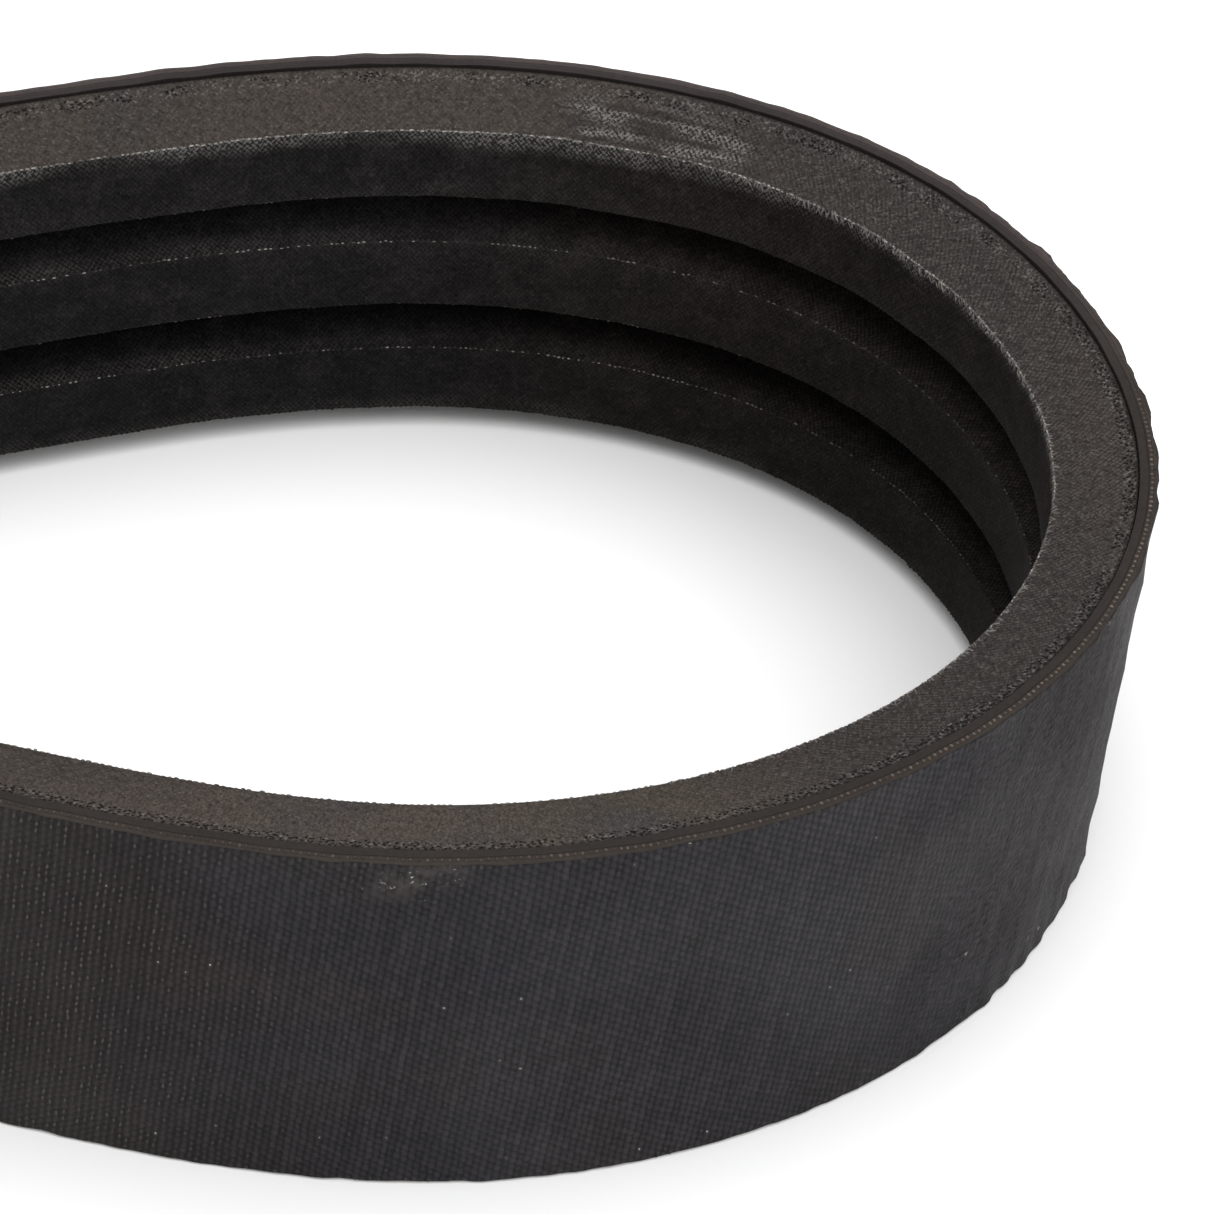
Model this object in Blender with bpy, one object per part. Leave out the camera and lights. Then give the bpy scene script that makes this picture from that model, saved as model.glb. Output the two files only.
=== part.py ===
"""A three-rib joined V-belt, standing on one edge of its tie band.

The belt is an endless loop that lies relaxed in a long dog-bone outline. Its outer face is a flat
tie band, and three wrapped V ribs run round the inside of the loop, one above the other. Every
layer is swept round the same outline, so each one follows its neighbours with an even gap.
Depths are measured inwards from the belt's outer back, and heights upwards from its lower edge.
"""

import math

import bpy
import numpy as np

# Belt section: a three-rib joined belt of the classical 19 mm pitch
RIB_COUNT = 3
RIB_PITCH = 0.01905
BELT_WIDTH = 0.0562
BELT_DEPTH = 0.0125
RIB_TOP_WIDTH = 0.0176
RIB_FACE_WIDTH = 0.0112
RIB_CORNER = 0.0011
GAP = 0.0003  # clearance that neighbouring layers keep

# Layer thicknesses, from the outer back inwards
PLY = 0.0005
JACKET = 0.0008
TENSION_RUBBER = 0.0007
ADHESION_GUM = 0.0005
CORD_DIAMETER = 0.0016
CORD_TURNS = 5
CORD_LEAD = 0.0022

# Outline of the outer back: control points of the right-hand lobe in millimetres, clockwise from
# above. The left-hand lobe is its mirror image, and a cubic B-spline runs through both.
LOBE_POINTS = (
    (44, 37), (128, 65), (203, 88), (273, 66), (300, 1), (265, -54), (195, -74), (124, -48), (43, -33),
)
SPLINE_STEPS = 60  # fine samples for each control point
STATIONS = 48  # sections round the loop
TURN_WEIGHT = 0.2  # metres of length that a turn of one radian counts as

PLY_FACES = [GAP * i + PLY * i for i in range(3)]
RIB_TOP = PLY_FACES[-1] + PLY + GAP
RIB_FLANK = (RIB_TOP_WIDTH - RIB_FACE_WIDTH) / 2 / (BELT_DEPTH - RIB_TOP)
RIB_HEIGHTS = [BELT_WIDTH / 2 + RIB_PITCH * (i - (RIB_COUNT - 1) / 2) for i in range(RIB_COUNT)]


def clear_scene():
    for item in list(bpy.data.objects):
        bpy.data.objects.remove(item)


def collection(name):
    made = bpy.data.collections.new(name)
    bpy.context.scene.collection.children.link(made)
    return made


def material(name, colour, roughness):
    made = bpy.data.materials.new(name)
    made.use_nodes = True
    shader = made.node_tree.nodes["Principled BSDF"]
    shader.inputs["Base Color"].default_value = (*colour, 1.0)
    shader.inputs["Roughness"].default_value = roughness
    shader.inputs["Metallic"].default_value = 0.0
    return made


def fine_outline():
    """Closed cubic B-spline round both lobes, as close points in metres, clockwise from the waist.

    Its origin is the centre of its own box."""
    lobe = np.array(LOBE_POINTS, float) * 0.001
    control = np.concatenate([lobe, lobe[::-1] * (-1, 1)])
    t = np.arange(SPLINE_STEPS) / SPLINE_STEPS
    weights = np.stack([(1 - t) ** 3, 3 * t**3 - 6 * t**2 + 4, -3 * t**3 + 3 * t**2 + 3 * t + 1, t**3]) / 6
    near = np.stack([np.roll(control, 1 - i, axis=0) for i in range(4)])
    points = np.einsum("wt,wcx->ctx", weights, near).reshape(-1, 2)
    points = np.roll(points, SPLINE_STEPS // 2, axis=0)
    return points - (points.max(axis=0) + points.min(axis=0)) / 2


def outline_stations():
    """The loop's sections, set closer together where the belt turns, clockwise from above."""
    points = fine_outline()
    steps = np.roll(points, -1, axis=0) - points
    heading = np.unwrap(np.arctan2(steps[:, 1], steps[:, 0]))
    turning = np.abs(np.diff(heading, append=heading[:1] - 2 * math.pi))
    cost = np.concatenate([[0], np.cumsum(np.linalg.norm(steps, axis=1) + TURN_WEIGHT * turning)])
    wanted = np.linspace(0, cost[-1], STATIONS, endpoint=False)
    closed = np.concatenate([points, points[:1]])
    return np.stack([np.interp(wanted, cost, closed[:, axis]) for axis in range(2)], axis=1)


def inset(stations, depth):
    """The same sections moved inwards by a depth, with mitred corners."""
    ahead = np.roll(stations, -1, axis=0) - stations
    ahead /= np.linalg.norm(ahead, axis=1)[:, None]
    behind = np.roll(ahead, 1, axis=0)
    inward = np.stack([ahead[:, 1] + behind[:, 1], -ahead[:, 0] - behind[:, 0]], axis=1)
    half_turn = np.linalg.norm(inward, axis=1)[:, None] / 2
    return stations + inward / (2 * half_turn**2) * depth


def poly_curve(name, points, closed, dimensions):
    """A curve object with one straight-segment spline."""
    curve = bpy.data.curves.new(name, "CURVE")
    curve.dimensions = dimensions
    curve.resolution_u = 1
    curve.render_resolution_u = 0
    if dimensions == "2D":
        curve.fill_mode = "NONE"
    spline = curve.splines.new("POLY")
    spline.points.add(len(points) - 1)
    spline.points.foreach_set("co", np.column_stack([points, np.ones(len(points))]).ravel())
    spline.use_cyclic_u = closed
    return bpy.data.objects.new(name, curve)


def swept_layer(name, profile, height, finish, stations, parts, guides):
    """One closed section swept round the loop. The profile's points are (depth, height) pairs."""
    flat = [(depth, up + height, 0.0) for depth, up in profile]
    guide = poly_curve(name + "_section", flat, True, "2D")
    guide.hide_render = True
    guide.display_type = "WIRE"
    guides.objects.link(guide)
    path = np.column_stack([stations, np.zeros(len(stations))])
    layer = poly_curve(name, path, True, "2D")
    layer.data.bevel_mode = "OBJECT"
    layer.data.bevel_object = guide
    layer.data.materials.append(finish)
    parts.objects.link(layer)
    return layer


def flank(depth, inwards=0.0):
    """Half the width of a rib at a depth, less a distance measured square to its flank."""
    return RIB_TOP_WIDTH / 2 - (depth - RIB_TOP) * RIB_FLANK - inwards * math.hypot(1, RIB_FLANK)


def tie_band_profile(index):
    top = PLY_FACES[index]
    half = BELT_WIDTH / 2
    return [(top, -half), (top, half), (top + PLY, half), (top + PLY, -half)]


def filling_profile(top, bottom):
    """A layer inside a rib's jacket, with a gap to it on both flanks."""
    wall = JACKET + GAP
    upper, lower = flank(top, wall), flank(bottom, wall)
    return [(top, -upper), (top, upper), (bottom, lower), (bottom, -lower)]


def jacket_profile():
    """The fabric jacket's section: a C whose two ends meet in a lap under the tie band."""
    lap = GAP / 2
    inner_top, inner_face = RIB_TOP + JACKET, BELT_DEPTH - JACKET
    outside = [
        (RIB_TOP, lap),
        (RIB_TOP, flank(RIB_TOP)),
        (BELT_DEPTH - RIB_CORNER, flank(BELT_DEPTH - RIB_CORNER)),
        (BELT_DEPTH, flank(BELT_DEPTH) - RIB_CORNER),
    ]
    inside = [
        (inner_face, flank(inner_face, JACKET)),
        (inner_top, flank(inner_top, JACKET)),
        (inner_top, lap),
    ]
    mirror = [(depth, -up) for depth, up in reversed(outside)]
    inner_mirror = [(depth, -up) for depth, up in reversed(inside)]
    return outside + mirror + inner_mirror + inside


def cord_points(stations, depth, height):
    """One endless-wound cord: a helix that climbs by one lead for each trip round the loop."""
    ring = inset(stations, depth)
    count = CORD_TURNS * len(ring) + 1
    climb = np.linspace(-0.5, 0.5, count) * CORD_TURNS * CORD_LEAD
    places = np.arange(count) % len(ring)
    return np.column_stack([ring[places], height + climb])


def tensile_cord(name, height, depth, finish, stations, parts):
    cord = poly_curve(name, cord_points(stations, depth, height), False, "3D")
    cord.data.bevel_depth = CORD_DIAMETER / 2
    cord.data.bevel_resolution = 0
    cord.data.use_fill_caps = True
    cord.data.materials.append(finish)
    parts.objects.link(cord)
    return cord


def build_tie_band(stations, finishes, parts, guides):
    names = ("tie_band_back_fabric", "tie_band_cross_cord_ply", "tie_band_inner_fabric")
    slots = ("back_fabric", "cross_cord_ply", "inner_fabric")
    for index, (name, slot) in enumerate(zip(names, slots)):
        profile = tie_band_profile(index)
        swept_layer(name, profile, BELT_WIDTH / 2, finishes[slot], stations, parts, guides)


def build_rib(number, height, stations, finishes, parts, guides):
    def layer(name, profile, slot):
        title = f"rib_{number}_{name}"
        swept_layer(title, profile, height, finishes[slot], stations, parts, guides)

    layer("jacket", jacket_profile(), "jacket_fabric")
    depth = RIB_TOP + JACKET + GAP
    layer("tension_rubber", filling_profile(depth, depth + TENSION_RUBBER), "tension_rubber")
    depth += TENSION_RUBBER + GAP
    layer("upper_adhesion_gum", filling_profile(depth, depth + ADHESION_GUM), "adhesion_gum")
    depth += ADHESION_GUM + GAP
    centre = depth + CORD_DIAMETER / 2
    tensile_cord(f"rib_{number}_tensile_cord", height, centre, finishes["tensile_cord"], stations, parts)
    depth += CORD_DIAMETER + GAP
    layer("lower_adhesion_gum", filling_profile(depth, depth + ADHESION_GUM), "adhesion_gum")
    depth += ADHESION_GUM + GAP
    face = BELT_DEPTH - JACKET - GAP
    layer("compression_rubber", filling_profile(depth, face), "compression_rubber")


def main():
    clear_scene()
    parts = collection("v_belt")
    guides = collection("guides")
    finishes = {
        "back_fabric": material("back_fabric", (0.030, 0.030, 0.033), 0.75),
        "cross_cord_ply": material("cross_cord_ply", (0.055, 0.046, 0.038), 0.8),
        "inner_fabric": material("inner_fabric", (0.035, 0.030, 0.026), 0.8),
        "jacket_fabric": material("jacket_fabric", (0.045, 0.040, 0.036), 0.8),
        "tension_rubber": material("tension_rubber", (0.020, 0.019, 0.018), 0.6),
        "adhesion_gum": material("adhesion_gum", (0.030, 0.027, 0.024), 0.55),
        "tensile_cord": material("tensile_cord", (0.420, 0.360, 0.270), 0.7),
        "compression_rubber": material("compression_rubber", (0.014, 0.014, 0.014), 0.65),
    }
    stations = outline_stations()
    build_tie_band(stations, finishes, parts, guides)
    for index, height in enumerate(RIB_HEIGHTS):
        build_rib(index + 1, height, stations, finishes, parts, guides)


main()
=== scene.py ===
"""Looks of a three-rib joined V-belt standing on its edge.

A woven back cloth lies over a rubber-coated cord ply. Its cut edges show the pale ends of the cross
threads. Three ribs in lapped, bias-cut fabric jackets run round the inside of the loop. Lengths are
in metres. Depth is measured inwards from the belt's outer back, and height up from its lower edge.
"""

import math
from types import SimpleNamespace

import bpy
import numpy as np
from mathutils import Euler, Matrix, Vector


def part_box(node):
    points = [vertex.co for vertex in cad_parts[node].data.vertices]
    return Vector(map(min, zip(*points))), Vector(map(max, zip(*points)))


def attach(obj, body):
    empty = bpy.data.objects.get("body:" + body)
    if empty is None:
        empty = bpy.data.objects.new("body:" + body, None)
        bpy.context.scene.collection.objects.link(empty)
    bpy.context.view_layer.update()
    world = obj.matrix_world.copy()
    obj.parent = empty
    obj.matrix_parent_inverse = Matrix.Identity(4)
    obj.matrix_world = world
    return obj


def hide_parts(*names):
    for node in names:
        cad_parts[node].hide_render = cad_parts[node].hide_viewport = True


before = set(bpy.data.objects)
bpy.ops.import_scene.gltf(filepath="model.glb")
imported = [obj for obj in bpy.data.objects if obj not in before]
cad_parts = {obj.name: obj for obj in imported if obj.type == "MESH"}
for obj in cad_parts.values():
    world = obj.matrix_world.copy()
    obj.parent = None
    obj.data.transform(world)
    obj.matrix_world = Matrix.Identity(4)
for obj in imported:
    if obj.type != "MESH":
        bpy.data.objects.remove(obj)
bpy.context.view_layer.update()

# Belt section, as the CAD model has it
BELT_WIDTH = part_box("tie_band_back_fabric")[1].z
BELT_MIDDLE = BELT_WIDTH / 2
RIB_TOP = 0.0024
BELT_DEPTH = 0.0125
RIB_TOP_WIDTH = 0.0176
RIB_FACE_WIDTH = 0.0112
RIB_FLANK = (RIB_TOP_WIDTH - RIB_FACE_WIDTH) / 2 / (BELT_DEPTH - RIB_TOP)
RIB_PITCH = 0.01905
JACKET = 0.0008
JACKET_LAP = 0.0003
CORNER_RADIUS = 0.0006
SHOULDER_RADIUS = 0.0003
PLIES = {"back": (0.0, 0.00062), "cord": (0.00064, 0.00122), "inner": (0.00124, 0.00236)}
CORD_END_DEPTH = 0.00084
KNUCKLE_INSET = (0.00015, 0.00011)  # how far inside the sharp corner a knuckle lies: depth, height
CORNER_SINK = 0.000143  # how far the rounded corner of a rib's face lies inside the sharp one
CORNER_WAY = (0.807, 0.591)  # the way in from there: towards the band, and towards the rib's middle
EDGES = (("upper", BELT_WIDTH, 1), ("lower", 0.0, -1))  # the band's cut edges, their heights and ways out

# Outline of the outer back: the right-hand lobe's control points in millimetres, as in the CAD model
LOBE_POINTS = (
    (44, 37), (128, 65), (203, 88), (273, 66), (300, 1), (265, -54), (195, -74), (124, -48), (43, -33),
)
STATIONS = 1280
LOBE_START = 0.222  # distance from the belt's middle at which its lobes begin

# Fabric: threads counted round the loop, and across the belt by their pitch
BACK_COLUMNS = 1532
BACK_ROW = 0.000568
BACK_LEAN = 0.102  # how far a cross thread runs along the belt, per length across it
BIAS_COUNT = 1640
BIAS_PITCH = 0.000885

# Marks of use, as distances along the belt and heights
WORN_PATCH = (0.2405, 0.0095)  # middle and half length of the rubbed stretch of the top flank
SCUFF = (0.4655, 0.0535)
SCUFF_REACH = (0.0045, 0.0030)

FLOOR_LEVEL = -0.0003  # just under the wavy lower edge
FLOOR_REACH = 30.0

# Camera, fitted to the belt's rims and rib edges
CAMERA_PLACE = (0.18176, -0.38464, 0.40161)
CAMERA_HEADING = 6.2545  # degrees east of +Y
CAMERA_DOWN = 44.278
CAMERA_ROLL = 5.150
CAMERA_LENS = 125.37


class Loop:
    """The belt's outline at evenly spaced stations, with the way ahead and the way inwards at each one."""

    def __init__(self, count):
        lobe = np.array(LOBE_POINTS, float) * 0.001
        control = np.concatenate([lobe, lobe[::-1] * (-1, 1)])
        steps = 200
        t = np.arange(steps) / steps
        pulls = [(1 - t) ** 3, 3 * t**3 - 6 * t**2 + 4, -3 * t**3 + 3 * t**2 + 3 * t + 1, t**3]
        weights = np.stack(pulls) / 6
        near = np.stack([np.roll(control, 1 - i, axis=0) for i in range(4)])
        fine = np.einsum("wt,wcx->ctx", weights, near).reshape(-1, 2)
        fine = np.roll(fine, steps // 2, axis=0)
        fine -= (fine.max(axis=0) + fine.min(axis=0)) / 2
        closed = np.concatenate([fine, fine[:1]])
        run = np.concatenate([[0], np.cumsum(np.linalg.norm(np.diff(closed, axis=0), axis=1))])
        self.length = run[-1]
        self.count = count
        self.along = np.linspace(0, self.length, count, endpoint=False)
        self.points = np.stack([np.interp(self.along, run, closed[:, i]) for i in range(2)], axis=1)
        ahead = np.roll(self.points, -1, axis=0) - np.roll(self.points, 1, axis=0)
        self.ahead = ahead / np.linalg.norm(ahead, axis=1)[:, None]
        self.inward = np.stack([self.ahead[:, 1], -self.ahead[:, 0]], axis=1)

    def between(self, values, along):
        """A per-station quantity read at these distances along the belt."""
        spot = np.mod(along, self.length) / self.length * self.count
        low = np.floor(spot).astype(int)
        share = (spot - low)[:, None]
        return values[low % self.count] * (1 - share) + values[(low + 1) % self.count] * share

    def frames(self, along, depth, height):
        """Points on the belt, with the unit vectors ahead, inwards and up there."""
        ahead = self.between(self.ahead, along)
        inward = self.between(self.inward, along)
        flat = self.between(self.points, along) + inward * np.broadcast_to(depth, len(along))[:, None]
        points = np.column_stack([flat, np.broadcast_to(height, len(along))])
        level = np.zeros(len(along))
        axes = [np.column_stack([ahead, level]), np.column_stack([inward, level])]
        return points, np.stack(axes + [np.broadcast_to((0.0, 0.0, 1.0), points.shape)], axis=1)


LOOP = Loop(STATIONS)


# ---------------- meshes


def wander(seed, waves, size):
    """A smooth random wave round the loop, one value for each station."""
    rng = np.random.default_rng(seed)
    angle = 2 * math.pi * LOOP.along / LOOP.length
    total = np.zeros(LOOP.count)
    for number in waves:
        total += rng.normal() * np.sin(number * angle + rng.uniform(0, 2 * math.pi))
    return total * size / math.sqrt(len(waves) / 2)


def rounded(corners, radii, steps=5, guard=0.00012):
    """A ring of (depth, height) corners, each turned into an arc with a point close by on either side."""
    corners = np.array(corners, float)
    ring = []
    for i, corner in enumerate(corners):
        before, after = corners[i - 1] - corner, corners[(i + 1) % len(corners)] - corner
        before /= np.linalg.norm(before)
        after /= np.linalg.norm(after)
        radius = radii[i]
        if radius <= 0:
            ring.append(corner)
            continue
        half = math.acos(np.clip(before @ after, -1, 1)) / 2
        middle = (before + after) / np.linalg.norm(before + after)
        centre = corner + middle * radius / math.sin(half)
        reach = radius / math.tan(half)
        start, end = corner + before * reach - centre, corner + after * reach - centre
        turn = math.atan2(start[0] * end[1] - start[1] * end[0], start @ end)
        ring.append(centre + start + before * guard)
        for step in range(steps + 1):
            angle = turn * step / steps
            c, s = math.cos(angle), math.sin(angle)
            ring.append(centre + (c * start[0] - s * start[1], s * start[0] + c * start[1]))
        ring.append(centre + end + after * guard)
    return np.array(ring)


def densify(ring, spacing):
    """The same closed ring with extra points, so that no side is longer than the spacing."""
    points = []
    for a, b in zip(ring, np.roll(ring, -1, axis=0)):
        pieces = max(1, math.ceil(np.linalg.norm(b - a) / spacing))
        points.extend(a + (b - a) * k / pieces for k in range(pieces))
    return np.array(points)


def ripples(number):
    """How far a rib's face stands out, in long waves and in short ones."""
    return wander(20 + number, range(5, 90, 3), 0.000025) + wander(30 + number, range(120, 420, 5), 0.000015)


# How far the band's cut edges and the three ribs' faces stand out, station by station
EDGE_WAVE = wander(3, range(30, 220, 7), 0.00005)
RIB_RIPPLES = [ripples(number) for number in range(3)]


def placed(name, data):
    """A new object of the scene."""
    item = bpy.data.objects.new(name, data)
    bpy.context.scene.collection.objects.link(item)
    return item


def finished(name, points, faces, finish, uvs):
    """A smooth mesh object that rides on the belt, with this material and these UV maps."""
    mesh = bpy.data.meshes.new(name)
    mesh.from_pydata(points.tolist(), [], faces)
    for label, values in uvs.items():
        layer = mesh.uv_layers.new(name=label)
        layer.data.foreach_set("uv", np.ascontiguousarray(values, np.float32).ravel())
    mesh.materials.append(finish)
    mesh.shade_smooth()
    mesh.update()
    piece = placed(name, mesh)
    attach(piece, "root")
    return piece


def sweep(name, ring, place, finish, deeper=0.0, higher=0.0):
    """A closed skin swept round the loop. Its UV map "threads" is along the belt and round the section, and
    "place" holds two more values given for each point of the ring."""
    rows, columns = LOOP.count, len(ring)
    depth = ring[:, 0] + np.zeros((rows, columns)) + deeper
    height = ring[:, 1] + np.zeros((rows, columns)) + higher
    flat = LOOP.points[:, None] + LOOP.inward[:, None] * depth[..., None]
    points = np.concatenate([flat, height[..., None]], axis=2).reshape(-1, 3)
    i, j = np.meshgrid(np.arange(rows), np.arange(columns), indexing="ij")
    i2, j2 = (i + 1) % rows, (j + 1) % columns
    faces = np.stack([i * columns + j, i * columns + j2, i2 * columns + j2, i2 * columns + j], axis=-1)
    around = np.concatenate([[0], np.cumsum(np.linalg.norm(np.roll(ring, -1, axis=0) - ring, axis=1))])
    step = LOOP.length / rows
    along = np.stack([i, i, i + 1, i + 1], axis=-1) * step
    across = np.stack([around[j], around[j + 1], around[j + 1], around[j]], axis=-1)
    corner = np.stack([j, j2, j2, j], axis=-1)
    uvs = {"threads": np.stack([along, across], axis=-1), "place": place[corner]}
    return finished(name, points, faces.reshape(-1, 4).tolist(), finish, uvs)


def ball(sides=7, bands=3):
    """A unit ball's points and faces, wound for axes that run ahead, inwards and up."""
    points = [(0.0, 0.0, -1.0)]
    for band in range(1, bands + 1):
        angle = math.pi * band / (bands + 1)
        wide, level = math.sin(angle), -math.cos(angle)
        for k in range(sides):
            turn = 2 * math.pi * k / sides
            points.append((wide * math.cos(turn), wide * math.sin(turn), level))
    points.append((0.0, 0.0, 1.0))
    top = len(points) - 1
    faces = []
    for k in range(sides):
        k2 = (k + 1) % sides
        faces.append((0, 1 + k, 1 + k2))
        for band in range(bands - 1):
            low, high = 1 + band * sides, 1 + (band + 1) * sides
            faces.append((low + k, high + k, high + k2, low + k2))
        faces.append((top, top - sides + k2, top - sides + k))
    return np.array(points), faces


def beads(name, along, depth, height, half_sizes, finish, chance):
    """A row of small ellipsoids on the belt, with half_sizes ahead, inwards and up. UV map "bead" holds each
    one's chance and its place along the belt."""
    unit, unit_faces = ball()
    centres, axes = LOOP.frames(along, depth, height)
    sizes = np.broadcast_to(half_sizes, (len(along), 3))
    points = centres[:, None] + np.einsum("pa,na,nax->npx", unit, sizes, axes)
    faces = []
    for k in range(len(along)):
        base = k * len(unit)
        faces += [tuple(base + v for v in face) for face in unit_faces]
    corners = sum(len(face) for face in unit_faces)
    shares = np.repeat(np.column_stack([chance, np.asarray(along) / LOOP.length]), corners, axis=0)
    return finished(name, points.reshape(-1, 3), faces, finish, {"bead": shares})


# ---------------- material nodes


class Finish:
    """A material under construction, with short calls for the shader nodes that it uses."""

    def __init__(self, name, roughness, specular):
        self.material = bpy.data.materials.new(name)
        self.material.use_nodes = True
        self.nodes = self.material.node_tree.nodes
        self.links = self.material.node_tree.links
        self.shader = self.nodes["Principled BSDF"]
        self.shader.inputs["Roughness"].default_value = roughness
        self.shader.inputs["Specular IOR Level"].default_value = specular

    def put(self, value, socket):
        if isinstance(value, bpy.types.NodeSocket):
            self.links.new(value, socket)
        elif isinstance(value, (tuple, list)) and len(value) == 3 and socket.type == "RGBA":
            socket.default_value = (*value, 1.0)
        else:
            socket.default_value = value

    def math(self, operation, a, b=0.0, c=0.0, clamp=False):
        node = self.nodes.new("ShaderNodeMath")
        node.operation = operation
        node.use_clamp = clamp
        for value, socket in zip((a, b, c), node.inputs):
            self.put(value, socket)
        return node.outputs[0]

    def times(self, *values):
        total = values[0]
        for value in values[1:]:
            total = self.math("MULTIPLY", total, value)
        return total

    def wave(self, turns):
        """A sine wave that goes through 0 at every whole number."""
        return self.math("SINE", self.times(turns, math.pi))

    def plus(self, a, b):
        return self.math("ADD", a, b)

    def less(self, a, b):
        return self.math("SUBTRACT", a, b)

    def rest(self, share):
        return self.less(1.0, share)

    def line(self, value, slope, start):
        """value times slope, plus start."""
        return self.math("MULTIPLY_ADD", value, slope, start)

    def greater(self, a, b):
        return self.math("MAXIMUM", a, b)

    def absolute(self, value):
        return self.math("ABSOLUTE", value)

    def split(self, vector):
        node = self.nodes.new("ShaderNodeSeparateXYZ")
        self.links.new(vector, node.inputs[0])
        return node.outputs[0], node.outputs[1], node.outputs[2]

    def uv(self, name):
        node = self.nodes.new("ShaderNodeUVMap")
        node.uv_map = name
        return self.split(node.outputs[0])[:2]

    def vector(self, x, y, z=0.0):
        node = self.nodes.new("ShaderNodeCombineXYZ")
        for value, socket in zip((x, y, z), node.inputs):
            self.put(value, socket)
        return node.outputs[0]

    def solid_point(self):
        return self.nodes.new("ShaderNodeTexCoord").outputs["Object"]

    def noise(self, where, scale, detail=3.0, rough=0.55):
        node = self.nodes.new("ShaderNodeTexNoise")
        self.put(where, node.inputs["Vector"])
        node.inputs["Scale"].default_value = scale
        node.inputs["Detail"].default_value = detail
        node.inputs["Roughness"].default_value = rough
        return node.outputs["Fac"]

    def swing(self, where, scale, detail):
        """Noise less its middle value, so that it goes both ways from 0."""
        return self.less(self.noise(where, scale, detail), 0.5)

    def grain(self, along, across, scale_along, scale_across, detail=3.0, rough=0.55):
        """Noise that is longer one way on the belt's surface than the other."""
        where = self.vector(self.times(along, scale_along), self.times(across, scale_across))
        return self.noise(where, 1.0, detail, rough)

    def random(self, where):
        node = self.nodes.new("ShaderNodeTexWhiteNoise")
        node.noise_dimensions = "3D"
        self.put(where, node.inputs["Vector"])
        return node.outputs["Value"]

    def pits(self, where, scale, low, high):
        """Scattered round spots, 1 in the middle of each."""
        node = self.nodes.new("ShaderNodeTexVoronoi")
        node.voronoi_dimensions = "2D"
        self.put(where, node.inputs["Vector"])
        node.inputs["Scale"].default_value = scale
        return self.ramp(node.outputs["Distance"], low, high, 1.0, 0.0)

    def ramp(self, value, low, high, bottom=0.0, top=1.0):
        """value from low to high, as bottom to top, eased and held at both ends."""
        node = self.nodes.new("ShaderNodeMapRange")
        node.interpolation_type = "SMOOTHSTEP"
        for item, socket in zip((value, low, high, bottom, top), node.inputs):
            self.put(item, socket)
        return node.outputs[0]

    def hump(self, value, middle, half, blur):
        """1 within half of the middle, easing to 0 over blur on either side."""
        away = self.absolute(self.less(value, middle))
        return self.ramp(away, half, half + blur, 1.0, 0.0)

    def mix(self, share, a, b):
        node = self.nodes.new("ShaderNodeMix")
        node.data_type = "RGBA"
        self.put(share, node.inputs[0])
        self.put(a, node.inputs[6])
        self.put(b, node.inputs[7])
        return node.outputs[2]

    def scaled(self, colour, factor):
        """colour times a grey factor."""
        node = self.nodes.new("ShaderNodeVectorMath")
        node.operation = "SCALE"
        self.put(colour, node.inputs[0])
        self.put(factor, node.inputs["Scale"])
        return node.outputs[0]

    def moved(self, where, by):
        """One vector plus another."""
        node = self.nodes.new("ShaderNodeVectorMath")
        self.put(where, node.inputs[0])
        self.put(by, node.inputs[1])
        return node.outputs[0]

    def bump(self, height, distance, normal=None):
        node = self.nodes.new("ShaderNodeBump")
        node.inputs["Strength"].default_value = 1.0
        node.inputs["Distance"].default_value = distance
        self.put(height, node.inputs["Height"])
        if normal is not None:
            self.links.new(normal, node.inputs["Normal"])
        return node.outputs[0]

    def weave(self, u, v):
        """Plain weave of threads counted by u over threads counted by v. Gives the height, from 0 to 1, and
        one random value for each float of a u thread."""
        wave_u, wave_v = self.wave(u), self.wave(v)
        lift = self.times(wave_v, self.math("SIGN", wave_u), 0.5)
        over = self.math("SQRT", self.math("ADD", 0.5, lift, clamp=True))
        under = self.math("SQRT", self.math("SUBTRACT", 0.5, lift, clamp=True))
        float_u = self.times(self.math("POWER", self.absolute(wave_u), 0.7), over)
        float_v = self.times(self.math("POWER", self.absolute(wave_v), 0.7), under)
        return self.greater(float_u, float_v), self.float_chance(u, v)

    def float_chance(self, u, v):
        """One random value for each float of a u thread."""
        column = self.math("FLOOR", u)
        odd = self.math("FLOORED_MODULO", column, 2.0)
        stretch = self.math("FLOOR", self.times(self.less(self.plus(v, 0.5), odd), 0.5))
        return self.random(self.vector(column, stretch))

    def ropes(self, u, v, ridge, skew, sharp):
        """Plain weave of thick twisted u threads, standing up as ropes by this share, over thin v threads.
        skew opens the gaps along one diagonal, and sharp narrows the ropes. Gives the height, from 0 to 1."""
        wave_u, wave_v = self.wave(u), self.wave(v)
        cross_u, cross_v = [self.math("COSINE", self.times(turns, math.pi)) for turns in (u, v)]
        rope = self.math("POWER", self.absolute(wave_u), sharp)
        both = self.times(self.plus(self.times(wave_u, wave_v), self.times(cross_u, cross_v, skew)), 0.5)
        low = self.times(self.plus(both, 0.5), self.rest(ridge))
        return self.line(rope, ridge, low)

    def out(self, colour, normal=None, roughness=None):
        self.put(colour, self.shader.inputs["Base Color"])
        if roughness is not None:
            self.put(roughness, self.shader.inputs["Roughness"])
        if normal is not None:
            self.put(normal, self.shader.inputs["Normal"])
        return self.material


def back_place(make):
    """Where a point of the back cloth lies, and how much it is in the straight middle or at a lobe's end."""
    point = make.solid_point()
    east = make.absolute(make.split(point)[0])
    return SimpleNamespace(
        point=point, east=east,
        along=make.uv("threads")[0],
        height=make.uv("place")[1],
        middle=make.ramp(east, 0.158, 0.188, 1.0, 0.0),
        lobe_end=make.ramp(east, 0.243, 0.277),
        patchy=make.noise(point, 26, 3),
    )


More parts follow.
